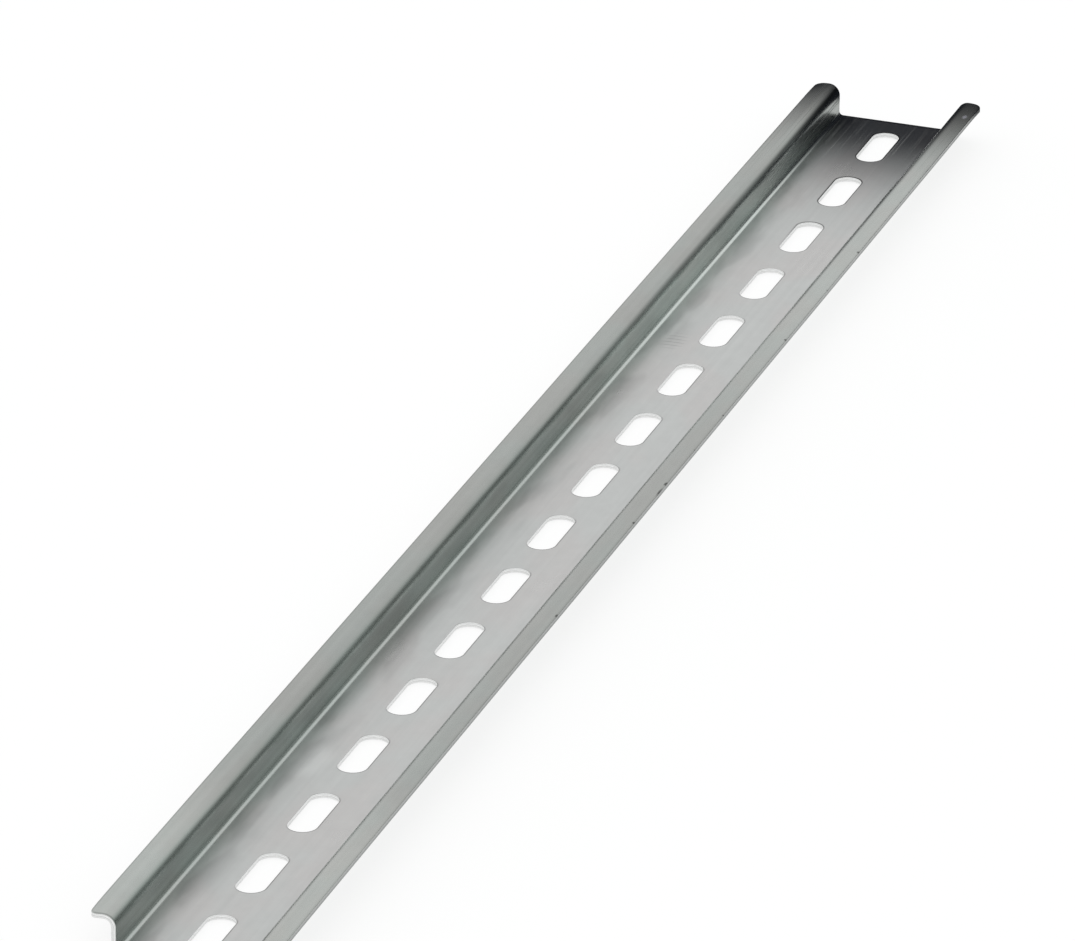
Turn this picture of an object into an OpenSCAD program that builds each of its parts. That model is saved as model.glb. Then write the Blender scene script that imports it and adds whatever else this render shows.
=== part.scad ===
// Top-hat mounting rail, 35 mm wide and 7.5 mm deep, cold rolled from one steel strip
// and pierced with a row of lengthwise slots.
// It lies open side up. X runs along the rail, Y across it and Z up.
// The origin is the middle of the rail's underside. All sizes are millimetres.

/* [Rail] */
// Length of the cut piece
rail_length = 400; // [100:25:2000]
// Overall width over the two lips
rail_width = 35; // [33:0.5:40]
// Overall depth, from the web's underside to the top of the lips
rail_depth = 7.5; // [6:0.5:15]
// Outside width of the channel between the lips
channel_width = 27; // [24:0.5:28]
// Thickness of the strip
strip = 1; // [0.8:0.1:1.5]

/* [Bends and corners] */
// Inside radius of the bends between the web and the walls
web_bend_inside = 0.8; // [0.4:0.1:1]
// Inside radius of the softer bends between the walls and the lips
lip_bend_inside = 1.3; // [0.4:0.1:1.5]
// Radius that the shear leaves on the corners of the lips, seen from above
lip_corner = 1.5; // [0.5:0.1:2]

/* [Slots] */
// Width of a slot
slot_width = 5.4; // [4:0.1:7]
// Length of a slot over its round ends
slot_length = 16; // [10:0.5:20]
// Distance from one slot's centre to the next
slot_pitch = 25; // [22:0.5:40]
// Distance from the +X end to the centre of the first slot
first_slot = 14; // [11:0.5:24]
// Least metal left between the last slot and the -X end
least_margin = 2; // [1:0.5:10]

/* [Hidden] */
$fn = 64;
// Outside radius of the bends between the web and the walls
web_bend_outside = web_bend_inside + strip;
// Half the width of the web's flat underside
web_half = channel_width / 2 - web_bend_outside;
// Distance from the middle plane to the centre of the bend between wall and lip
lip_bend_y = channel_width / 2 + lip_bend_inside;
// Height of the centre of that bend
lip_bend_z = rail_depth - strip - lip_bend_inside;
// Number of slots that fit the length
slot_count = floor((rail_length - first_slot - slot_length / 2 - least_margin) / slot_pitch) + 1;
// Overlap that carries a cutter past the faces it cuts
past = 1;

// One quarter of a bend, centred on the origin, filling the quadrant towards +x and -y
module bend(inside) {
    outside = inside + strip;
    intersection() {
        difference() {
            circle(outside);
            circle(inside);
        }
        translate([0, -outside]) square(outside);
    }
}

// Half of the hat section, from the middle plane to the edge of one lip
module half_section() {
    square([web_half, strip]);
    translate([web_half, web_bend_outside]) bend(web_bend_inside);
    translate([channel_width / 2 - strip, web_bend_outside])
        square([strip, lip_bend_z - web_bend_outside]);
    translate([lip_bend_y, lip_bend_z]) rotate(180) bend(lip_bend_inside);
    translate([lip_bend_y, rail_depth - strip]) square([rail_width / 2 - lip_bend_y, strip]);
}

// The full length of rolled section before it is pierced
module rolled_strip() {
    rotate([90, 0, 90])
        linear_extrude(height = rail_length, center = true)
            for (side = [0, 1]) mirror([side, 0]) half_section();
}

// One slot with round ends, cut right through the web
module slot_cutter() {
    arc_offset = (slot_length - slot_width) / 2;
    depth = strip + 2 * past;
    translate([0, 0, -past]) {
        for (side = [-1, 1]) translate([side * arc_offset, 0, 0]) cylinder(d = slot_width, h = depth);
        translate([-arc_offset, -slot_width / 2, 0]) cube([2 * arc_offset, slot_width, depth]);
    }
}

// What the shear takes off one corner of a lip
module corner_cutter() {
    translate([rail_length / 2 - lip_corner, rail_width / 2 - lip_corner, rail_depth - strip - past])
        difference() {
            cube([lip_corner + past, lip_corner + past, strip + 2 * past]);
            translate([0, 0, -past]) cylinder(r = lip_corner, h = strip + 4 * past);
        }
}

// The finished rail: section, row of slots and rounded lip corners
module rail() {
    color([0.72, 0.74, 0.73])
        difference() {
            rolled_strip();
            for (i = [0 : slot_count - 1])
                translate([rail_length / 2 - first_slot - i * slot_pitch, 0, 0]) slot_cutter();
            for (end = [0, 1], side = [0, 1])
                mirror([end, 0, 0]) mirror([0, side, 0]) corner_cutter();
        }
}

rail();
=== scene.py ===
"""Slotted top-hat mounting rail: one rolled strip of zinc-plated steel, its finish and its studio.

Everything is in metres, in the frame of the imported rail: X runs along the rail, Y across it,
Z up, and the underside of the web lies at z = 0. From where the camera stands, +X is the far
end and +Y the left side.
"""
import math

import bpy
import numpy as np
from bpy.props import FloatProperty, FloatVectorProperty, IntProperty, PointerProperty
from mathutils import Matrix, Vector


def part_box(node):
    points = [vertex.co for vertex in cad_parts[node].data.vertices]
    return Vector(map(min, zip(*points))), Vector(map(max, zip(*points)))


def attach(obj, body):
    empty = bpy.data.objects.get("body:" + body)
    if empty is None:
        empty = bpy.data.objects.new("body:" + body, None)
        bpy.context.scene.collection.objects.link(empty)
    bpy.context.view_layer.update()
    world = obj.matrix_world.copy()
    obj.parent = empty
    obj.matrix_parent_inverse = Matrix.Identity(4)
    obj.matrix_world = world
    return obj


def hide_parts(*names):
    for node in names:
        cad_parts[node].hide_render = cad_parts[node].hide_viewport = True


bl_info = {
    "name": "Slotted mounting rail",
    "version": (1, 0, 0),
    "blender": (4, 5, 0),
    "location": "View3D > Sidebar > Rail",
    "description": "Rolls a slotted top-hat rail, plates it with zinc and sets up its studio",
    "category": "Add Mesh",
}

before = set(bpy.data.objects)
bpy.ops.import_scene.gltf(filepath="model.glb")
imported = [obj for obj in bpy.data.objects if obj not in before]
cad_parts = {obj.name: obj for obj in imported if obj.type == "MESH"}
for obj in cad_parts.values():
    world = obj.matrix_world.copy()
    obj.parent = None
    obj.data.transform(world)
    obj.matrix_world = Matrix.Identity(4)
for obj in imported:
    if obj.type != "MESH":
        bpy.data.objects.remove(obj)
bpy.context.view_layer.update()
RAIL_LOW, RAIL_HIGH = (np.array(corner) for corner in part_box("rail"))
RAIL_SIZE = RAIL_HIGH - RAIL_LOW

MM = 0.001

# The sheet map: x and s of the flat strip, with the other faces laid out beside it
SHEET_MAP = "sheet"
UNDER_SHIFT = 0.12
BAND_SHIFT = 0.1
SLIT_BAND, SLOT_BAND, END_BAND = 2 * BAND_SHIFT, 3 * BAND_SHIFT, 4 * BAND_SHIFT

# Materials of the mesh, in the order of its slots
FACE, SHEAR, SLIT = 0, 1, 2

# The grids: steps along and across a slot's cell, rows round an edge, steps over the
# section's stretches from the web outwards, and rings outwards from a slot
LONG_STEPS, END_STEPS, ROLL_ROWS = 16, 8, 5
FILLET_STEPS, WALL_STEPS, BEND_STEPS, LIP_STEPS, CORNER_STEPS = 8, 5, 10, 3, 6
RING_GAPS = np.array([0.0, 0.05, 0.12, 0.25, 0.5, 0.85]) * MM
RING_STEPS = 4

# Half a cell's length, the step between cells, and the steps there at least and at the far end
CELL_HALF, GAP_STEP = 10.0 * MM, 1.5 * MM
LEAST_GAP_STEPS, FAR_GAP_STEPS = 3, 4

# The weld's step, and what counts as no area and as no length
WELD_STEP, NO_AREA, NO_LENGTH = 1e-7, 1e-13, 1e-20

# The share of a lip that stays as it is when its edge is drawn in, and how far from an end
# the columns bend with the rounded corners
FIRM_LIP = 0.2
CORNER_ROOT = 6.0 * MM

# A slot's wall: the depths, as shares of the strip, where the slug breaks away and where the
# break-out has its share, and the bevel at the underside
BREAK_START, BREAK_MOST, BREAK_SHARE = 0.55, 0.68, 0.7
BEVEL = 0.03 * MM

# The two waves along a lip, by their lengths over two pi, and the second one's start
WAVES = (0.031, 0.0173)
WAVE_START = 1.1

# Noises by name: how many to the metre along and across the strip, and their detail
LINE_GRAINS = {"Fine": ((9.0, 2400.0, 1.0), 2.0), "Streak": ((6.0, 900.0, 1.0), 3.0),
               "Hair": ((22.0, 2600.0, 1.0), 1.0)}
BLOOM_GRAINS = {"Cloud": ((38.0, 70.0, 1.0), 2.0), "Mottle": ((260.0, 420.0, 1.0), 3.0)}
PATCH_GRAIN = ((42.0, 190.0, 1.0), 2.5)
WANDER_GRAIN = ((900.0, 0.0, 1.0), 2.0)
SCORE_GRAIN = ((5200.0, 500.0, 1.0), 2.0)

# Stretches of the rail where painted light and shade change the tone, and at the tip the
# hairlines too, from where each starts to where it is full, as shares of the way from the
# rail's middle to its far end
STRETCHES = {"Far": (0.05, 0.55), "Tip": (0.70, 0.98), "Near": (-0.65, -0.85)}

# The painted dark line of shade on a slot's right: how much it leans round the near end,
# where along the rail it comes to go all round, and how much stronger it is there
RIM_LEAN = 0.35
RIM_ROUND = (125 * MM, 155 * MM)
RIM_FAR = 1.5

# Lines along a sheared face: depth as a share of the strip, and how far each wanders
TEAR = (0.42, 0.30)
LEDGE = (0.38, -0.20)

# Marks of handling, in millimetres on the sheet: x, s, half length, half width
LIP_FLECKS = [(151, -22.5, 0.5, 0.3), (118, -22.4, 0.5, 0.35), (108, -22.6, 0.4, 0.3),
              (98, -22.5, 0.6, 0.3), (72, -22.4, 0.5, 0.3), (34, -22.5, 0.4, 0.3),
              (17, -22.6, 0.5, 0.3), (0.5, -22.4, 1.0, 0.45), (-3.5, -22.5, 2.6, 0.35),
              (-14, -22.6, 0.5, 0.3), (-18, -22.4, 0.6, 0.3), (-61, -22.5, 0.9, 0.35)]
NICK = (192.5, -21.2, 1.3, 0.6)
SMUDGE = (-120, 7.6, 9.0, 4.5)
CHATTER_PATCH = (78, 7.0, 5.5, 3.0)
CHATTER_CENTRE = (58, 6)
CHATTER_STEP = 1.5 * MM
RAGGED = 0.5 * MM       # how far the mottling pushes the edges of flecks and nick about

# Sideways across the tent: where its tint fades out, and where its horizon brightens
TINT_FADE = (-0.60, -0.22)
HORIZON_FADE = (-0.30, 0.30)
FLOOR_DROP = 0.2 * MM
SENSOR_WIDE = 36.0


# ---------------- sizes and colours

def length(name, text, value, high=10.0):
    """A length in metres."""
    return FloatProperty(name=name, description=text, default=value, min=0.0, max=high,
                         subtype="DISTANCE", unit="LENGTH", precision=5)


def share(name, text, value, high=1.0):
    """A plain number from 0 up."""
    return FloatProperty(name=name, description=text, default=value, min=0.0, max=high)


def colour(name, text, value):
    """A linear colour."""
    return FloatVectorProperty(name=name, description=text, default=value, size=3, min=0.0,
                               max=1.0, subtype="COLOR")


def angle(name, text, degrees):
    """An angle, given in degrees."""
    return FloatProperty(name=name, description=text, default=math.radians(degrees),
                         subtype="ANGLE", unit="ROTATION")


def point(name, text, value):
    """A point in the rail's frame."""
    return FloatVectorProperty(name=name, description=text, default=value, size=3,
                               subtype="TRANSLATION", unit="LENGTH", precision=5)


class RailSizes(bpy.types.PropertyGroup):
    """Sizes of the rolled section, its slots and its cut ends."""
    long: length("Length", "Length of the cut piece", float(RAIL_SIZE[0]))
    wide: length("Width", "Width over both lips", float(RAIL_SIZE[1]))
    deep: length("Depth", "From the web's underside to the lips' top", float(RAIL_SIZE[2]))
    strip: length("Strip", "Thickness of the strip", 1.0 * MM)
    channel: length("Channel", "Width over the outer faces of the two walls", 27.0 * MM)
    web_bend: length("Web bend", "Inside radius where a wall leaves the web", 0.8 * MM)
    lip_bend: length("Lip bend", "Inside radius where a lip leaves its wall", 1.3 * MM)
    slot_wide: length("Slot width", "Width of a slot", 5.4 * MM)
    slot_long: length("Slot length", "Length of a slot over its round ends", 16.0 * MM)
    slot_pitch: length("Slot pitch", "Distance from one slot to the next", 25.0 * MM)
    first_slot: length("First slot", "Middle of the first slot, from the far end", 14.0 * MM)
    slot_count: IntProperty(name="Slots", description="Number of slots", default=16, min=1)
    lip_corner: length("Lip corner", "Radius of a lip's corner, seen from above", 1.5 * MM)
    top_edge: length("Top edge", "Rounding of the sheared edges on the upper side", 0.16 * MM)
    under_edge: length("Under edge", "Rounding of the sheared edges below", 0.08 * MM)
    punch_roll: length("Punch roll", "Rounding that the punch leaves round a slot", 0.09 * MM)
    break_out: length("Break out", "Flare of a slot where the slug broke away", 0.06 * MM)
    lip_drag: length("Lip drag", "How far the shear drags a lip's corner down", 0.30 * MM)
    drag_reach: length("Drag reach", "How far along the rail that fades", 3.0 * MM)
    lip_wander: length("Lip wander", "How far the lips wander down along the rail", 0.05 * MM)


class ZincFinish(bpy.types.PropertyGroup):
    """Colours and strengths of the zinc finish, and of the light and shade painted on it."""
    # Painted light and shade in the zone tones, over the zinc's own grey: the walls and lips are
    # darker than the web as painted shade, the bends at the web are lighter than the walls as a
    # painted highlight, and the web beside a bend takes on some of the walls' painted shade
    web: colour("Web", "Colour of the plated web", (0.56, 0.56, 0.56))
    fillet: colour("Fillet", "Colour of the burnished bends at the web", (0.515, 0.543, 0.53))
    wall: colour("Wall", "Colour of the plated walls", (0.335, 0.366, 0.350))
    lip: colour("Lip", "Colour of the plated lips", (0.385, 0.398, 0.386))
    warm: colour("Warm", "Tint of the zinc between the clouds", (1.0, 0.992, 0.980))
    green: colour("Green", "Tint of the zinc in the clouds", (0.975, 1.0, 0.988))
    slit: colour("Slit edge", "Colour of the strip's long edges", (0.45, 0.46, 0.452))
    cut: colour("Cut edge", "Colour of the ends and the slots' walls", (0.91, 0.915, 0.91))
    nick: colour("Nick", "Colour of the bare steel in the nick", (0.62, 0.62, 0.68))
    beside: share("Beside", "Share of the wall's tone in the web beside a bend", 0.5)
    # Painted light and shade along the rail, following the studio's light: walls, bends, lips and
    # the right side lighter or duller towards either end
    far_side: share("Far sides", "How much brighter walls and bends are far along", 0.32)
    far_wall: share("Far walls", "How much brighter still the walls are there", 0.18)
    far_right: share("Far right", "How much brighter the right side is far along", 0.18)
    near_lip: share("Near lips", "How much brighter the lips are near the near end", 0.20)
    tip_side: share("Tip sides", "How much duller walls and bends are at the far end", 0.45)
    tip_lip: share("Tip lip", "How much duller the right lip is at the far end", 0.45)
    far_bend: share("Far bend", "How much duller the left lip's bend is far along", 0.50)
    streaks: share("Streaks", "How much the rolling lines swing the tone", 0.14)
    wall_streaks: share("Wall streaks", "How much more they swing it on the walls", 0.5)
    clouds: share("Clouds", "How much the clouds swing the tone", 0.12)
    mottle: share("Mottle", "How much the fine mottling swings the tone", 0.10)
    # Painted shade in patches on the web beside the left wall
    mottling: share("Patches", "How much darker the patches beside the left wall are", 0.20)
    # Painted shade in dark lines beside the slots' rims and along the outer edges
    rim_shade: share("Rim shade", "How much darker the zinc is beside the slots", 0.55)
    edge_shade: share("Edge shade", "How much darker it is along the outer edges", 0.25)
    right_edge: share("Right edge", "Share of that which the right edge goes without", 0.7)
    flecks: share("Flecks", "How much darker the flecks on the right lip's edge are", 0.75)
    chatter: share("Chatter", "How much darker the curved strokes are", 0.26)
    smudge: share("Smudge", "How much lighter the smudge is", 0.14)
    roughness: share("Roughness", "Roughness of the plated faces", 0.285)
    brushing: share("Brushing", "How much wider highlights are across the rolling lines", 0.80)
    cloud_rough: share("Cloud roughness", "How much the clouds swing the roughness", 0.08)
    burnish: share("Burnish", "How much smoother the rolls leave the bends", 0.04)
    hairlines: share("Hairlines", "How much rougher the hairlines are", 0.20)
    hair_rest: share("Hair rest", "Share of them away from the far end", 0.10)
    nick_rough: share("Nick roughness", "How much rougher the nick is", 0.3)
    line_depth: length("Line depth", "Depth of the rolling lines", 0.0008 * MM)
    cloud_depth: length("Cloud depth", "Height of the clouds", 0.004 * MM)
    cut_roughness: share("Cut roughness", "Roughness of the burnished cuts", 0.38)
    torn_rough: share("Torn roughness", "How much rougher their torn part is", 0.12)
    torn_shade: share("Torn shade", "How much darker their torn part is", 0.10)
    line_shade: share("Line shade", "How much darker the lines across them are", 0.28)
    score_shade: share("Score shade", "How much the scores swing their tone", 0.10)
    score_depth: length("Score depth", "Depth of the scores", 0.008 * MM)


class StudioSizes(bpy.types.PropertyGroup):
    """Light, floor and camera."""
    sky: share("Sky", "Brightness of the tent overhead", 0.92, 4.0)
    left_low: share("Left horizon", "Share of it near the horizon on the rail's left", 0.90)
    right_low: share("Right horizon", "Share of it near the horizon on the right", 0.22)
    right: colour("Right side", "Tint of the tent on the rail's right", (0.78, 0.835, 0.81))
    rise_start: angle("Rise start", "Height above the horizon where the tent brightens", 7)
    rise_stop: angle("Rise stop", "Height above it where it is at its brightest", 19)
    flag_gap: length("Flag gap", "Distance of the dark flag from the rail's far end", 10 * MM)
    flag_solid: length("Flag solid", "Height up to which the flag is black", 9 * MM)
    flag_high: length("Flag height", "Height at which the flag has faded out", 28 * MM)
    flag_right: length("Flag right", "Reach of the flag to the rail's right", 120 * MM)
    flag_left: length("Flag left", "Reach of the flag to the rail's left", 55 * MM)
    flag_colour: colour("Flag colour", "What the flag shows", (0.014, 0.016, 0.022))
    floor_wide: length("Floor", "Width of the floor", 12.0, high=50.0)
    paper: colour("Paper", "Colour of the floor", (0.95, 0.95, 0.95))
    paper_white: share("Paper white", "Strength of the floor's plain white", 1.055, 4.0)
    paper_share: share("White share", "Share of plain white in what the floor shows", 0.78)
    lens: length("Lens", "Focal length on a 36 mm sensor", 329.3 * MM)
    stand: point("Camera", "Where the camera stands", (-1.57103, -0.53239, 0.75021))
    aim: point("Aim", "What the camera looks at", (0.01124, 0.01147, 0.001))
    roll: angle("Roll", "How far the camera leans", 0.74)


# ---------------- numpy shapes

def even_steps(count):
    """Even steps from 0 to 1, without the 0."""
    return np.arange(1, count + 1) / count


class Strip:
    """The developed strip and the fold that turns it into the rail's section.

    A point has x along the rail, s across the flat strip measured from its middle, and w
    through the strip, 0 on the underside and 1 on the upper side. The ends are the places
    across the strip where the web's flat part, the first bend, the wall, the second bend and
    the flat lip end."""

    def __init__(self, sizes):
        self.t = sizes.strip
        self.ri, self.rl = sizes.web_bend, sizes.lip_bend
        wall_y = sizes.channel / 2 - self.t
        self.flat = wall_y - self.ri
        self.wall = sizes.deep - self.t - self.ri - (self.rl + self.t)
        self.lip = sizes.wide / 2 - (wall_y + self.rl + self.t)
        self.bend1 = math.pi / 2 * (self.ri + self.t / 2)
        self.bend2 = math.pi / 2 * (self.rl + self.t / 2)
        self.ends = np.cumsum([self.flat, self.bend1, self.wall, self.bend2, self.lip])
        self.half = float(self.ends[-1])
        self.half_long = sizes.long / 2
        self.first = self.half_long - sizes.first_slot
        self.slot_half = sizes.slot_wide / 2
        self.slot_run = (sizes.slot_long - sizes.slot_wide) / 2
        self.corner = sizes.lip_corner
        self.drag, self.drag_reach = sizes.lip_drag, sizes.drag_reach
        self.wander = sizes.lip_wander

    def fold(self, x, s, w):
        """Rolls the flat strip: the web stays flat, each side turns up through a quarter
        circle, runs up the wall, turns out through a second quarter circle and ends in the
        flat lip. Radii grow or shrink with w, so the strip keeps its thickness."""
        x, s, w = np.broadcast_arrays(x, s, w)
        a = np.abs(s)
        e = self.ends
        turn1 = np.clip((a - e[0]) / self.bend1, 0, 1) * math.pi / 2
        r1 = self.ri + self.t * (1 - w)
        turn2 = np.clip((a - e[2]) / self.bend2, 0, 1) * math.pi / 2
        r2 = self.rl + self.t * w
        y = np.minimum(a, self.flat) + r1 * np.sin(turn1)
        z = self.ri + self.t - r1 * np.cos(turn1) + np.clip(a - e[1], 0, self.wall)
        y = y + r2 * (1 - np.cos(turn2)) + np.clip(a - e[3], 0, None)
        z = z + r2 * np.sin(turn2)
        z = z + self.sag(x, a)
        return np.stack([x, np.sign(s) * y, z], -1)

    def sag(self, x, a):
        """How far a lip hangs below its nominal height: the shear drags its corners down,
        by the square of the distance past the bend, fading along the rail, and two long
        waves wander along it."""
        out = np.clip((a - self.ends[3]) / self.lip, 0, 1)
        near_end = np.exp(-(self.half_long - np.abs(x)) / self.drag_reach)
        drag = self.drag * out ** 2 * near_end
        waves = np.sin(x / WAVES[0]) * np.sin(x / WAVES[1] + WAVE_START)
        return -(drag + self.wander * out * (1 + waves) / 2)

    def plan(self, x, s, inset, web_end):
        """Moves flat-grid points in by inset at the strip's edges and rounds the corners of
        the lips: past web_end the columns draw in evenly towards the end, and within a corner
        radius of the long edge the end follows a quarter circle."""
        a = np.abs(s)
        start = self.ends[3] + FIRM_LIP * self.lip
        a = np.where(a > start, start + (a - start) * (self.half - inset - start)
                     / (self.half - start), a)
        b = np.abs(x)
        stop = self.half_long - inset
        b = np.where(b > web_end, web_end + (b - web_end) * (stop - web_end)
                     / (self.half_long - web_end), b)
        r = self.corner - inset
        t = np.clip((a - (self.half - inset - r)) / r, 0, 1)
        cut = r * (1 - np.sqrt(np.clip(1 - t * t, 0, None)))
        root = self.half_long - CORNER_ROOT
        b = np.where(b > root, root + (b - root) * (stop - cut - root) / (stop - root), b)
        return np.sign(x) * b, np.sign(s) * a


class Patches:
    """Grids of points gathered into one mesh: points that coincide become one vertex."""

    def __init__(self):
        self.points, self.maps, self.faces, self.finish = [], [], [], []
        self.count = 0

    def add(self, points, uv, finish, flip=False):
        """Adds a grid of points, rows by columns, as quads."""
        rows, cols = points.shape[:2]
        index = np.arange(rows * cols).reshape(rows, cols) + self.count
        quads = np.stack([index[:-1, :-1], index[1:, :-1], index[1:, 1:], index[:-1, 1:]], -1)
        quads = quads.reshape(-1, 4)
        if flip:
            quads = quads[:, ::-1]
        self.points.append(points.reshape(-1, 3))
        self.maps.append(np.broadcast_to(uv, points.shape[:2] + (2,)).reshape(-1, 2))
        self.faces.append(quads)
        self.finish.append(np.full(len(quads), finish))
        self.count += rows * cols

    def mesh(self, name):
        """Welds the grids, drops faces of no width and makes the mesh. A vertex's normal is
        the sum of its faces' normals, each as long as twice its face's area."""
        points, uv = np.concatenate(self.points), np.concatenate(self.maps)
        faces, finish = np.concatenate(self.faces), np.concatenate(self.finish)
        key = np.round(points / WELD_STEP).astype(np.int64)
        _, first, back = np.unique(key, axis=0, return_index=True, return_inverse=True)
        welded = back.ravel()[faces]
        points = points[first]
        across = points[welded[:, 2]] - points[welded[:, 0]]
        other = points[welded[:, 3]] - points[welded[:, 1]]
        normal = np.cross(across, other)
        keep = np.linalg.norm(normal, axis=1) > NO_AREA
        faces, welded, finish = faces[keep], welded[keep], finish[keep]
        smooth = np.zeros_like(points)
        for corner in range(4):
            np.add.at(smooth, welded[:, corner], normal[keep])
        smooth /= np.maximum(np.linalg.norm(smooth, axis=1, keepdims=True), NO_LENGTH)
        mesh = bpy.data.meshes.new(name)
        mesh.vertices.add(len(points))
        mesh.vertices.foreach_set("co", points.astype(np.float32).ravel())
        mesh.loops.add(welded.size)
        mesh.loops.foreach_set("vertex_index", welded.ravel().astype(np.int32))
        mesh.polygons.add(len(welded))
        mesh.polygons.foreach_set("loop_start", np.arange(0, welded.size, 4, dtype=np.int32))
        mesh.polygons.foreach_set("material_index", finish.astype(np.int32))
        mesh.polygons.foreach_set("use_smooth", np.ones(len(welded), dtype=bool))
        mesh.update(calc_edges=True)
        layer = mesh.uv_layers.new(name=SHEET_MAP)
        layer.uv.foreach_set("vector", uv[faces.ravel()].astype(np.float32).ravel())
        mesh.validate(clean_customdata=False)
        mesh.normals_split_custom_set_from_vertices(smooth.astype(np.float32))
        edges = np.sort(np.stack([welded, np.roll(welded, -1, 1)], -1).reshape(-1, 2), 1)
        _, shared = np.unique(edges, axis=0, return_counts=True)
        if (shared != 2).any():
            raise RuntimeError(f"{name}: {(shared != 2).sum()} edges don't have two faces")
        return mesh


def arc(centre, radius, start, stop, steps):
    """Points of an arc about (centre, 0), between two angles in degrees, without the last."""
    turn = np.radians(np.linspace(start, stop, steps + 1))[:-1]
    return np.stack([centre + radius * np.cos(turn), radius * np.sin(turn)], -1)


def slot_outline(straight, radius):
    """Corners of a slot's outline, counter-clockwise from the 45 degree point at the +x, -s
    end. A quarter circle faces each end, and the two eighths of a circle beside it go with
    the straight long sides."""
    eighth = END_STEPS // 2
    run_steps = LONG_STEPS - 2 * eighth
    run = np.linspace(straight, -straight, run_steps + 1)[:-1]
    half = np.concatenate([arc(straight, radius, -45, 45, END_STEPS),
                           arc(straight, radius, 45, 90, eighth),
                           np.stack([run, np.full(run_steps, radius)], -1),
                           arc(-straight, radius, 90, 135, eighth)])
    return np.concatenate([half, -half, half[:1]])


def cell_outline(half_x, half_s):
    """Corners of the rectangle round a slot, in step with slot_outline."""
    side = np.stack([np.full(END_STEPS, half_x),
                     np.linspace(-half_s, half_s, END_STEPS + 1)[:-1]], -1)
    top = np.stack([np.linspace(half_x, -half_x, LONG_STEPS + 1)[:-1],
                    np.full(LONG_STEPS, half_s)], -1)
    half = np.concatenate([side, top])
    return np.concatenate([half, -half, half[:1]])


def rounding(radius, rows):
    """Inset and fall of the rows down a quarter circle."""
    a = np.radians(np.linspace(0, 90, rows))
    return radius * (1 - np.sin(a)), radius * (1 - np.cos(a))


def edge_rows(top, under, t):
    """Inset and place through the strip of the rows down a sheared edge: a quarter circle
    from the upper side, the cut face, and a smaller quarter circle to the underside."""
    inset, fall = rounding(top, ROLL_ROWS)
    rise, under_inset = rounding(under, ROLL_ROWS - 1)
    return np.concatenate([inset, under_inset]), np.concatenate([1 - fall / t, rise / t])


def outer_rows(strip):
    """Places across one side of the strip, from the end of the web's flat part to the edge:
    even steps over each stretch, and closing up towards the edge round the lip's corner."""
    e = strip.ends
    tail = strip.half - strip.corner
    rows = np.concatenate([
        e[:1],
        e[0] + strip.bend1 * even_steps(FILLET_STEPS),
        e[1] + strip.wall * even_steps(WALL_STEPS),
        e[2] + strip.bend2 * even_steps(BEND_STEPS),
        e[3] + (tail - e[3]) * even_steps(LIP_STEPS),
        tail + strip.corner * np.sin(np.radians(90 * even_steps(CORNER_STEPS)))])
    rows[-1] = strip.half
    return rows


def spans_along(strip, centres):
    """The grid's columns along the rail, as spans that each say whether they are a slot's
    cell, with even steps between the cells and at both ends."""
    cell = np.linspace(-CELL_HALF, CELL_HALF, LONG_STEPS + 1)
    spans = []
    last = -strip.half_long
    for centre in centres:
        start = centre - CELL_HALF
        steps = max(LEAST_GAP_STEPS, int(round((start - last) / GAP_STEP)))
        spans += [(np.linspace(last, start, steps + 1), False), (centre + cell, True)]
        last = centre + CELL_HALF
    spans.append((np.linspace(last, strip.half_long, FAR_GAP_STEPS + 1), False))
    return spans


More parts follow.
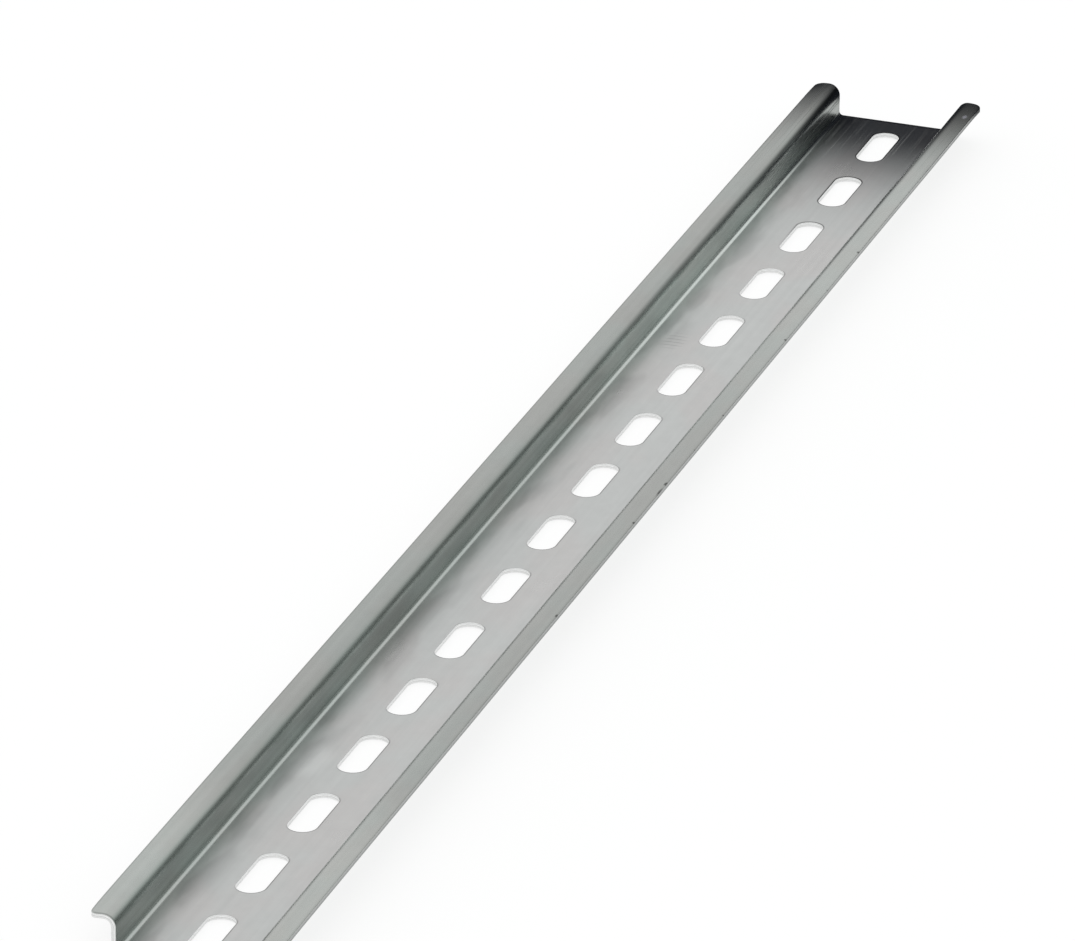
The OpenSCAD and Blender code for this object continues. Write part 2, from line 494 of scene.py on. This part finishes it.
class Rolling:
    """The whole rail as one closed surface: upper and lower grids of the strip with a ring
    grid round every slot, joined by the sheared edges and the slots' walls, all folded."""

    def __init__(self, sizes):
        strip = Strip(sizes)
        self.sizes, self.strip, self.out = sizes, strip, Patches()
        centres = strip.first - sizes.slot_pitch * np.arange(sizes.slot_count)
        self.centres = centres[::-1]
        self.spans = spans_along(strip, self.centres)
        near, far = self.spans[0][0], self.spans[-1][0]
        self.columns = np.concatenate([near] + [span[1:] for span, _ in self.spans[1:]])
        self.web_end = max(abs(near[-1]), abs(far[0]))
        self.web = np.linspace(-strip.flat, strip.flat, END_STEPS + 1)
        self.outer = outer_rows(strip)
        self.rows = np.concatenate([-self.outer[::-1], self.web[1:-1], self.outer])
        self.cell = cell_outline(CELL_HALF, strip.flat)
        self.inset, self.through = edge_rows(sizes.top_edge, sizes.under_edge, strip.t)

    def laid(self, x, s, w, gap):
        """Folded points of a flat grid that is drawn in by the gap at the edges."""
        px, ps = self.strip.plan(x, s, gap, self.web_end)
        return self.strip.fold(px, ps, w)

    def face(self, x, s, upper):
        """Adds a grid of the upper or the lower face."""
        w, gap, shift = 0.0, self.inset[-1], UNDER_SHIFT
        if upper:
            w, gap, shift = 1.0, self.inset[0], 0.0
        self.out.add(self.laid(x, s, w, gap), np.stack([x, s + shift], -1), FACE,
                     flip=not upper)

    def faces(self):
        """Both faces of the strip, apart from the slots' cells."""
        for upper in (True, False):
            for rows in (-self.outer[::-1], self.outer):
                self.face(*np.meshgrid(self.columns, rows, indexing="ij"), upper)
            for span, is_cell in self.spans:
                if not is_cell:
                    self.face(*np.meshgrid(span, self.web, indexing="ij"), upper)

    def slot(self, centre):
        """The rings from a slot out to its cell on both faces, and the slot's wall: a quarter
        circle from the upper face, the sheared part, and the break-out with its bevel."""
        sizes, t = self.sizes, self.strip.t
        straight, radius = self.strip.slot_run, self.strip.slot_half
        roll, flare = sizes.punch_roll, sizes.break_out
        mouth = flare + BEVEL
        shift = np.array([centre, 0.0])
        for upper, start in ((True, roll), (False, mouth)):
            rings = [slot_outline(straight, radius + start + gap) for gap in RING_GAPS]
            rings += [rings[-1] * (1 - b) + self.cell * b for b in even_steps(RING_STEPS)]
            rings = np.array(rings) + shift
            self.face(rings[..., 0], rings[..., 1], upper)
        inset, drop = rounding(roll, ROLL_ROWS)
        grow = np.concatenate([inset, [0.0, BREAK_SHARE * flare, flare, mouth]])
        fall = np.concatenate([drop, [BREAK_START * t, BREAK_MOST * t, t - BEVEL, t]])
        rings = np.array([slot_outline(straight, radius + g) for g in grow]) + shift
        w = np.broadcast_to((1 - fall / t)[:, None], rings.shape[:2])
        pts = self.laid(rings[..., 0], rings[..., 1], w, self.inset[0])
        step = np.linalg.norm(np.diff(rings[0], axis=0), axis=1)
        run = np.concatenate([[0], np.cumsum(step)])
        uv = np.stack(np.broadcast_arrays(run + centre, fall[:, None] + SLOT_BAND), -1)
        self.out.add(pts[:ROLL_ROWS], rings[:ROLL_ROWS], FACE, flip=True)
        self.out.add(pts[ROLL_ROWS - 1:], uv[ROLL_ROWS - 1:], SHEAR, flip=True)

    def hem(self, x, s, run, shift, finish, flip):
        """A sheared edge under the line x, s: its upper rounding belongs to the face."""
        rows = [self.strip.plan(x, s, gap, self.web_end) for gap in self.inset]
        px, ps = (np.stack(part, 1) for part in zip(*rows))
        pts, sheet = self.strip.fold(px, ps, self.through), np.stack([px, ps], -1)
        down = shift + (1 - self.through) * self.strip.t
        uv = np.stack(np.broadcast_arrays(run[:, None], down), -1)
        self.out.add(pts[:, :ROLL_ROWS], sheet[:, :ROLL_ROWS], FACE, flip)
        self.out.add(pts[:, ROLL_ROWS - 1:], uv[:, ROLL_ROWS - 1:], finish, flip)

    def hems(self):
        """The two long edges and the two ends."""
        for side in (-1, 1):
            edge = np.full(len(self.columns), side * self.strip.half)
            self.hem(self.columns, edge, self.columns * side, SLIT_BAND, SLIT, side < 0)
            end = np.full(len(self.rows), side * self.strip.half_long)
            self.hem(end, self.rows, self.rows * side, END_BAND, SHEAR, side > 0)

    def mesh(self, name):
        """The rail's mesh."""
        self.faces()
        for centre in self.centres:
            self.slot(centre)
        self.hems()
        return self.out.mesh(name)


# ---------------- shader nodes

def put(tree, kind, **fields):
    """Adds a node and sets its fields."""
    node = tree.nodes.new(kind)
    for key, value in fields.items():
        setattr(node, key, value)
    return node


def link(tree, source, target):
    """Joins two sockets, or sets the target where the source is a number or a colour."""
    if isinstance(source, bpy.types.NodeSocket):
        tree.links.new(source, target)
    else:
        target.default_value = source


def group_tree(name, outputs, *more):
    """A shader group that takes the place on the strip, and more vectors where it needs
    them, with the sockets that its inputs give and its outputs take."""
    tree = bpy.data.node_groups.new(name, "ShaderNodeTree")
    for label in ("Place", *more):
        tree.interface.new_socket(name=label, in_out="INPUT", socket_type="NodeSocketVector")
    for label in outputs:
        tree.interface.new_socket(name=label, in_out="OUTPUT", socket_type="NodeSocketFloat")
    return tree, put(tree, "NodeGroupInput").outputs, put(tree, "NodeGroupOutput").inputs


def feed(tree, node, **values):
    """Feeds a node's inputs by name, with _ for a space, and gives its outputs."""
    for key, value in values.items():
        link(tree, value, node.inputs[key.replace("_", " ")])
    return node.outputs


def uses(tree, group, place, **inputs):
    """Places a group in a tree and feeds it the place on the strip."""
    node = put(tree, "ShaderNodeGroup", node_tree=bpy.data.node_groups[group])
    return feed(tree, node, Place=place, **inputs)


def vectors(tree, operation, *values, kind="ShaderNodeVectorMath"):
    """A Vector Math node on sockets or vectors, with all its outputs."""
    node = put(tree, kind, operation=operation)
    for socket, value in zip(node.inputs, values):
        link(tree, value, socket)
    return node.outputs


def maths(tree, operation, *values):
    """A Math node on sockets or numbers."""
    return vectors(tree, operation, *values, kind="ShaderNodeMath")[0]


def apart(tree, vector):
    """The X, Y and Z of a vector."""
    split = put(tree, "ShaderNodeSeparateXYZ")
    link(tree, vector, split.inputs[0])
    return split.outputs


def fade(tree, value, start, stop, low=0.0, high=1.0):
    """Goes smoothly from low at start to high at stop."""
    node = put(tree, "ShaderNodeMapRange", interpolation_type="SMOOTHSTEP")
    return feed(tree, node, Value=value, From_Min=start, From_Max=stop, To_Min=low,
                To_Max=high)["Result"]


def blend(tree, factor, first, second, kind="MIX"):
    """A colour between two colours, or another blend of the two."""
    node = put(tree, "ShaderNodeMix", data_type="RGBA", blend_type=kind)
    colours = [socket for socket in node.inputs if socket.type == "RGBA"]
    link(tree, factor, node.inputs["Factor"])
    for socket, value in zip(colours, (first, second)):
        link(tree, value, socket)
    return next(socket for socket in node.outputs if socket.type == "RGBA")


def times(tree, *factors):
    """The product of several factors."""
    product = factors[0]
    for factor in factors[1:]:
        product = maths(tree, "MULTIPLY", product, factor)
    return product


def changed(tree, *changes, start=1.0):
    """The start with every change added: a strength times all its masks."""
    total = start
    for strength, *masks in changes:
        total = maths(tree, "MULTIPLY_ADD", times(tree, *masks), strength, total)
    return total


def swing(tree, value, reach):
    """One, give or take half the reach, as a 0 to 1 value swings."""
    return changed(tree, (reach, value), start=1.0 - reach / 2)


def less(tree, first, second):
    """The first value less the second."""
    return maths(tree, "SUBTRACT", first, second)


def noise(tree, place, grain):
    """Noise on a place that is scaled by the grain's counts to the metre."""
    counts, detail = grain
    scaled = vectors(tree, "MULTIPLY", place, counts)[0]
    return feed(tree, put(tree, "ShaderNodeTexNoise"), Vector=scaled, Scale=1.0,
                Detail=detail)["Fac"]


# ---------------- shader groups

def strip_plan_group(sizes):
    """Where a point lies on the strip: its distance from the nearest slot and from the
    nearest outer edge, whether it is where the painted dark line of shade beside a slot
    falls, how far it is past the web's flat part, past the fillet and past the middle of the
    lip's bend, and how far along the rail. A slot's distance is that of a point to a segment
    less the slot's half width, with the segments repeated at the pitch."""
    strip = Strip(sizes)
    flat, fillet, wall = strip.ends[:3]
    # Zones across the strip; Beside is where the web takes painted shade next to a bend
    zones = {"Beside": (flat - 3.2 * MM, flat),
             "Fillet": (flat - 0.1 * MM, flat + 0.3 * MM),
             "Wall": (fillet - 0.7 * MM, fillet - 0.1 * MM),
             "Lip": (wall + 0.25 * strip.bend2, wall + 0.7 * strip.bend2)}
    tree, given, out = group_tree(
        "strip_plan", ["Slot", "Side", "Edge", "Left", "Right", *zones, *STRETCHES])
    place = apart(tree, given["Place"])
    x, v = place["X"], place["Y"]
    below = maths(tree, "GREATER_THAN", v, UNDER_SHIFT / 2)
    across = maths(tree, "ABSOLUTE", changed(tree, (-UNDER_SHIFT, below), start=v))
    half_pitch = sizes.slot_pitch / 2
    along = maths(tree, "WRAP", less(tree, x, strip.first), half_pitch, -half_pitch)
    past = less(tree, maths(tree, "ABSOLUTE", along), strip.slot_run)
    past = maths(tree, "MAXIMUM", past, 0.0)
    reach = maths(tree, "SQRT", maths(tree, "ADD", maths(tree, "MULTIPLY", past, past),
                                      maths(tree, "MULTIPLY", across, across)))
    link(tree, less(tree, reach, strip.slot_half), out["Slot"])
    edge_gap = less(tree, strip.half, across)
    end_gap = less(tree, strip.half_long, maths(tree, "ABSOLUTE", x))
    link(tree, maths(tree, "MINIMUM", edge_gap, end_gap), out["Edge"])
    side = fade(tree, changed(tree, (RIM_LEAN, along), start=v), -2 * MM, MM, 1.0, 0.0)
    side = maths(tree, "MAXIMUM", side, fade(tree, x, *RIM_ROUND, 0.0, RIM_FAR))
    link(tree, side, out["Side"])
    link(tree, fade(tree, v, flat - 8 * MM, flat - 2 * MM), out["Left"])
    link(tree, fade(tree, v, -flat, -fillet), out["Right"])
    for zone, span in zones.items():
        link(tree, fade(tree, across, *span), out[zone])
    for stretch, shares in STRETCHES.items():
        start, stop = (part * strip.half_long for part in shares)
        link(tree, fade(tree, x, start, stop), out[stretch])


def grain_group(name, grains):
    """A group that puts out noises by name, each of its own grain."""
    tree, given, out = group_tree(name, grains)
    for label, grain in grains.items():
        link(tree, noise(tree, given["Place"], grain), out[label])


def shear_bands_group(sizes):
    """Bands down a sheared face: burnished above and torn below a tear that wanders, with
    thin lines along the tear and along a ledge above it, and fine scores down the face."""
    tree, given, out = group_tree("shear_bands", ["Torn", "Line", "Score"])
    place = given["Place"]
    fall = maths(tree, "MODULO", maths(tree, "ABSOLUTE", apart(tree, place)["Y"]), BAND_SHIFT)
    wander = noise(tree, place, WANDER_GRAIN)

    def below(line):
        depth, reach = line
        height = changed(tree, (reach * sizes.strip, wander), start=depth * sizes.strip)
        return less(tree, fall, height)

    torn = below(TEAR)
    link(tree, fade(tree, torn, -0.05 * MM, 0.05 * MM), out["Torn"])
    near = maths(tree, "MINIMUM", maths(tree, "ABSOLUTE", below(LEDGE)),
                 maths(tree, "ABSOLUTE", torn))
    link(tree, fade(tree, near, 0.01 * MM, 0.10 * MM, 1.0, 0.0), out["Line"])
    link(tree, noise(tree, place, SCORE_GRAIN), out["Score"])


def spot_group():
    """A soft round or oval spot: how near the place is to At, measured in Reach."""
    tree, given, out = group_tree("spot", ["Mask"], "At", "Reach")
    away = vectors(tree, "SUBTRACT", given["Place"], given["At"])[0]
    shares = vectors(tree, "DIVIDE", away, given["Reach"])[0]
    far = vectors(tree, "LENGTH", shares)["Value"]
    link(tree, fade(tree, far, 0.35, 1.0, 1.0, 0.0), out["Mask"])


def chatter_group():
    """Thin strokes that are rings round a centre, evenly spaced."""
    tree, given, out = group_tree("chatter_marks", ["Stroke"], "Centre")
    away = vectors(tree, "DISTANCE", given["Place"], given["Centre"])["Value"]
    near = maths(tree, "PINGPONG", away, CHATTER_STEP / 2)
    near = maths(tree, "DIVIDE", near, CHATTER_STEP)
    link(tree, fade(tree, near, 0.02, 0.16, 1.0, 0.0), out["Stroke"])


def spots(tree, place, places):
    """The strongest of several spots, each given in millimetres by its middle on the sheet
    and its half length and half width."""
    total = 0.0
    for x, s, long, wide in places:
        mask = uses(tree, "spot", place, At=(x * MM, s * MM, 0.0),
                    Reach=(long * MM, wide * MM, 1.0))["Mask"]
        total = maths(tree, "MAXIMUM", total, mask)
    return total


# ---------------- finish

def zinc_shader(name, brushing):
    """A Principled BSDF of bare metal, whose highlights are wider across the rolling lines where
    it is brushed.
    """
    mat = bpy.data.materials.new(name)
    mat.use_nodes = True
    tree = mat.node_tree
    bsdf = tree.nodes["Principled BSDF"]
    feed(tree, bsdf, Metallic=1.0, Anisotropic=brushing)
    place = put(tree, "ShaderNodeUVMap", uv_map=SHEET_MAP).outputs[0]
    if brushing:
        tangent = put(tree, "ShaderNodeTangent", direction_type="UV_MAP", uv_map=SHEET_MAP)
        quarter_turn = 0.25
        feed(tree, bsdf, Anisotropic_Rotation=quarter_turn, Tangent=tangent.outputs[0])
    return mat, tree, bsdf, place


def relief(tree, bsdf, height):
    """Bump from a height in metres."""
    bump = feed(tree, put(tree, "ShaderNodeBump"), Strength=1.0, Distance=1.0, Height=height)
    feed(tree, bsdf, Normal=bump[0])


def zone_tone(tree, plan, bloom, finish):
    """The tone on web, bends, walls and lips, warm or green with the clouds: the zinc's colour
    with painted shade on the walls, the lips and the web beside a bend, and a painted
    highlight on the bends at the web.
    """
    tone = blend(tree, maths(tree, "MULTIPLY", plan["Beside"], finish.beside),
                 (*finish.web, 1), (*finish.wall, 1))
    for zone in ("fillet", "wall", "lip"):
        tone = blend(tree, plan[zone.title()], tone, (*getattr(finish, zone), 1))
    hue = blend(tree, fade(tree, bloom["Cloud"], 0.40, 0.60), (*finish.warm, 1),
                (*finish.green, 1))
    return blend(tree, 1.0, tone, hue, "MULTIPLY")


def light_shade(tree, plan, finish):
    """How the tone follows the studio's light along the rail, to a small degree."""
    far, tip, lip, right = (plan[key] for key in ("Far", "Tip", "Lip", "Right"))
    on_wall = less(tree, plan["Wall"], lip)
    on_side = less(tree, plan["Fillet"], lip)
    on_bend = times(tree, lip, less(tree, 1.0, lip), 4.0)
    brighter = changed(tree, (finish.far_side, far, on_side), (finish.far_wall, far, on_wall),
                       (finish.near_lip, plan["Near"], lip), (finish.far_right, far, right))
    duller = changed(tree, (-finish.tip_side, tip, on_side),
                     (-finish.tip_lip, tip, tip, right, lip),
                     (-finish.far_bend, far, plan["Left"], on_bend))
    return times(tree, brighter, duller)


def grain_shade(tree, plan, lines, bloom, finish):
    """How the tone swings with rolling lines, more so on the walls, clouds and mottling."""
    on_wall = less(tree, plan["Wall"], plan["Lip"])
    streak = less(tree, lines["Streak"], 0.5)
    return times(tree, swing(tree, lines["Streak"], finish.streaks),
                 swing(tree, bloom["Cloud"], finish.clouds),
                 swing(tree, bloom["Mottle"], finish.mottle),
                 changed(tree, (finish.wall_streaks, on_wall, streak)))


def edge_lines(tree, plan, finish):
    """Painted shade: darker lines beside the slots and along the outer edges, weaker at the right
    edge.
    """
    near_slot = fade(tree, plan["Slot"], 0.12 * MM, 0.36 * MM, 1.0, 0.0)
    near_edge = fade(tree, plan["Edge"], 0.10 * MM, 0.30 * MM, 1.0, 0.0)
    rim = changed(tree, (-finish.rim_shade, plan["Side"], near_slot))
    weaker = changed(tree, (-finish.right_edge, plan["Right"]))
    return times(tree, rim, changed(tree, (-finish.edge_shade, near_edge, weaker)))


def handling_marks_and_wall_shade(tree, place, ragged, plan, finish):
    """Painted shade in patches on the web beside the left wall, and marks of handling: flecks,
    curved strokes and a smudge.
    """
    patch = fade(tree, noise(tree, place, PATCH_GRAIN), 0.44, 0.60)
    on_web = less(tree, 1.0, plan["Fillet"])
    centre = (CHATTER_CENTRE[0] * MM, CHATTER_CENTRE[1] * MM, 0.0)
    stroke = uses(tree, "chatter_marks", place, Centre=centre)["Stroke"]
    return times(tree, changed(tree, (-finish.mottling, patch, plan["Left"], on_web)),
                 changed(tree, (-finish.flecks, spots(tree, ragged, LIP_FLECKS))),
                 changed(tree, (-finish.chatter, stroke, spots(tree, place, [CHATTER_PATCH]))),
                 changed(tree, (finish.smudge, spots(tree, place, [SMUDGE]))))


def plated_face(finish):
    """Zinc over rolled strip: each zone's tone with its painted light and shade, painted light
    and shade along the rail, clouds, rolling lines, painted dark lines of shade beside the
    slots and at the edges, painted shade in patches beside the left wall, and a few marks
    of handling."""
    mat, tree, bsdf, place = zinc_shader("zinc_plated_face", finish.brushing)
    plan = uses(tree, "strip_plan", place)
    lines = uses(tree, "rolling_lines", place)
    bloom = uses(tree, "zinc_bloom", place)
    ragged = vectors(tree, "MULTIPLY_ADD", bloom["Mottle"], (RAGGED, RAGGED, 0.0), place)[0]

    shade = times(tree, light_shade(tree, plan, finish),
                  grain_shade(tree, plan, lines, bloom, finish),
                  edge_lines(tree, plan, finish), handling_marks_and_wall_shade(tree, place, ragged, plan, finish))
    base = blend(tree, 1.0, zone_tone(tree, plan, bloom, finish), shade, "MULTIPLY")
    nick = spots(tree, ragged, [NICK])

    hair = fade(tree, lines["Hair"], 0.56, 0.66)
    at_tip = changed(tree, (1 - finish.hair_rest, plan["Tip"]), start=finish.hair_rest)
    rough = changed(tree, (finish.cloud_rough, bloom["Cloud"]),
                    (-finish.burnish, plan["Fillet"]), (finish.hairlines, hair, at_tip),
                    (finish.nick_rough, nick), start=finish.roughness - finish.cloud_rough / 2)
    feed(tree, bsdf, Base_Color=blend(tree, nick, base, (*finish.nick, 1)), Roughness=rough)
    relief(tree, bsdf, changed(tree, (finish.line_depth, lines["Fine"]),
                               (finish.cloud_depth, bloom["Cloud"]), start=0.0))
    return mat


def sheared_face(name, finish, tint):
    """A sheared face: burnished above, torn below."""
    mat, tree, bsdf, place = zinc_shader(name, 0.0)
    bands = uses(tree, "shear_bands", place)
    shade = changed(tree, (-finish.torn_shade, bands["Torn"]),
                    (-finish.line_shade, bands["Line"]), (finish.score_shade, bands["Score"]),
                    start=1.0 - finish.score_shade / 2)
    rough = changed(tree, (finish.torn_rough, bands["Torn"]), start=finish.cut_roughness)
    feed(tree, bsdf, Base_Color=blend(tree, 1.0, (*tint, 1), shade, "MULTIPLY"),
         Roughness=rough)
    relief(tree, bsdf, maths(tree, "MULTIPLY", bands["Score"], finish.score_depth))
    return mat


# ---------------- operators

class RAILKIT_OT_rolled_rail(bpy.types.Operator):
    """Roll the slotted rail and plate it with zinc"""
    bl_idname = "railkit.rolled_rail"
    bl_label = "Rolled rail"

    def execute(self, context):
        sizes, finish = context.scene.rail_sizes, context.scene.zinc_finish
        strip_plan_group(sizes)
        grain_group("rolling_lines", LINE_GRAINS)
        grain_group("zinc_bloom", BLOOM_GRAINS)
        spot_group()
        chatter_group()
        shear_bands_group(sizes)
        mesh = Rolling(sizes).mesh("rolled_rail")
        rail = bpy.data.objects.new("rolled_rail", mesh)
        context.scene.collection.objects.link(rail)
        for mat in (plated_face(finish), sheared_face("zinc_plated_cut", finish, finish.cut),
                    sheared_face("zinc_plated_slit", finish, finish.slit)):
            mesh.materials.append(mat)
        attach(rail, "root")
        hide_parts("rail")
        return {"FINISHED"}


class RAILKIT_OT_studio(bpy.types.Operator):
    """Lay the pale floor, light the studio and place the camera"""
    bl_idname = "railkit.studio"
    bl_label = "Studio"

    def execute(self, context):
        studio = context.scene.studio_sizes
        self.floor(context, studio)
        self.flag(context, studio)
        self.sky(context, studio)
        self.camera(context, studio)
        context.scene.view_settings.view_transform = "Standard"
        return {"FINISHED"}

    def plane(self, context, name, material, corners):
        """A single quad of a new material, with what bare_tree gives for that."""
        mesh = bpy.data.meshes.new(name)
        mesh.from_pydata(corners, [], [(0, 1, 2, 3)])
        obj = bpy.data.objects.new(name, mesh)
        context.scene.collection.objects.link(obj)
        mat = bpy.data.materials.new(material)
        mesh.materials.append(mat)
        return obj, *self.bare_tree(mat, "ShaderNodeOutputMaterial")

    def bare_tree(self, owner, kind):
        """The owner's node tree with nothing in it but an output, and that output's input."""
        owner.use_nodes = True
        tree = owner.node_tree
        tree.nodes.clear()
        return tree, put(tree, kind).inputs["Surface"]

    def mixed(self, tree, factor, first, second):
        """A shader between two shaders."""
        mix = put(tree, "ShaderNodeMixShader")
        for socket, value in zip(mix.inputs, (factor, first[0], second[0])):
            link(tree, value, socket)
        return mix.outputs[0]

    def floor(self, context, studio):
        """White paper: plain diffuse for light, near white where it is looked at."""
        h, z = studio.floor_wide / 2, -FLOOR_DROP
        _, tree, surface = self.plane(context, "paper_floor", "white_paper",
                                      [(-h, -h, z), (h, -h, z), (h, h, z), (-h, h, z)])
        matt = feed(tree, put(tree, "ShaderNodeBsdfDiffuse"), Color=(*studio.paper, 1))
        white = feed(tree, put(tree, "ShaderNodeEmission"), Strength=studio.paper_white)
        path = put(tree, "ShaderNodeLightPath").outputs
        seen = maths(tree, "MAXIMUM", path["Is Camera Ray"],
                     maths(tree, "MAXIMUM", path["Is Glossy Ray"], path["Is Transmission Ray"]))
        seen = maths(tree, "MULTIPLY", seen, studio.paper_share)
        link(tree, self.mixed(tree, seen, matt, white), surface)

    def flag(self, context, studio):
        """A dark flag past the far end, seen only in the metal: black low down and fading
        out towards its top."""
        x, h = RAIL_HIGH[0] + studio.flag_gap, studio.flag_high
        right, left = -studio.flag_right, studio.flag_left
        flag, tree, surface = self.plane(
            context, "dark_flag", "black_card",
            [(x, right, 0), (x, left, 0), (x, left, h), (x, right, h)])
        for ray in ("camera", "diffuse", "transmission", "volume_scatter", "shadow"):
            setattr(flag, "visible_" + ray, False)
        black = feed(tree, put(tree, "ShaderNodeEmission"), Color=(*studio.flag_colour, 1))
        clear = put(tree, "ShaderNodeBsdfTransparent").outputs
        height = apart(tree, put(tree, "ShaderNodeTexCoord").outputs["Object"])["Z"]
        gone = fade(tree, height, studio.flag_solid, h)
        link(tree, self.mixed(tree, gone, black, clear), surface)

    def sky(self, context, studio):
        """The studio all round: a white tent that is dimmer towards the horizon, most of all
        on the rail's right, where it is also a little green."""
        world = bpy.data.worlds.new("studio_tent")
        context.scene.world = world
        tree, surface = self.bare_tree(world, "ShaderNodeOutputWorld")
        way = apart(tree, put(tree, "ShaderNodeTexCoord").outputs["Generated"])
        left = fade(tree, way["Y"], *TINT_FADE)
        low = fade(tree, way["Y"], *HORIZON_FADE, studio.right_low, studio.left_low)
        rise = fade(tree, way["Z"], math.sin(studio.rise_start), math.sin(studio.rise_stop),
                    low, 1.0)
        back = feed(tree, put(tree, "ShaderNodeBackground"),
                    Color=blend(tree, left, (*studio.right, 1), (1, 1, 1, 1)),
                    Strength=maths(tree, "MULTIPLY", rise, studio.sky))
        link(tree, back[0], surface)

    def camera(self, context, studio):
        """A long lens looking down along the rail from its near end."""
        data = bpy.data.cameras.new("long_lens")
        cam = bpy.data.objects.new("long_lens", data)
        context.scene.collection.objects.link(cam)
        look = (Vector(studio.aim) - Vector(studio.stand)).normalized()
        right = look.cross(Vector((0, 0, 1))).normalized()
        up = right.cross(look)
        turn = Matrix((right, up, -look)).transposed().to_4x4()
        cam.matrix_world = (Matrix.Translation(studio.stand) @ turn
                            @ Matrix.Rotation(studio.roll, 4, "Z"))
        data.sensor_width = SENSOR_WIDE
        data.lens = studio.lens / MM
        data.clip_start, data.clip_end = 0.05, 60.0
        context.scene.camera = cam


class RAILKIT_PT_panel(bpy.types.Panel):
    """Buttons that make the rail and its studio"""
    bl_idname = "RAILKIT_PT_panel"
    bl_label = "Mounting rail"
    bl_space_type = "VIEW_3D"
    bl_region_type = "UI"
    bl_category = "Rail"

    def draw(self, context):
        for operator in OPERATORS:
            self.layout.operator(operator.bl_idname)
        for group in GROUPS:
            box = self.layout.box()
            data = getattr(context.scene, group)
            for key in data.__annotations__:
                box.prop(data, key)


GROUPS = {"rail_sizes": RailSizes, "zinc_finish": ZincFinish, "studio_sizes": StudioSizes}
OPERATORS = (RAILKIT_OT_rolled_rail, RAILKIT_OT_studio)
CLASSES = (*GROUPS.values(), *OPERATORS, RAILKIT_PT_panel)


def register():
    for cls in CLASSES:
        bpy.utils.register_class(cls)
    for name, group in GROUPS.items():
        setattr(bpy.types.Scene, name, PointerProperty(type=group))


def unregister():
    for name in GROUPS:
        delattr(bpy.types.Scene, name)
    for cls in reversed(CLASSES):
        bpy.utils.unregister_class(cls)


def main():
    register()
    bpy.ops.railkit.rolled_rail()
    bpy.ops.railkit.studio()


if __name__ == "__main__":
    main()
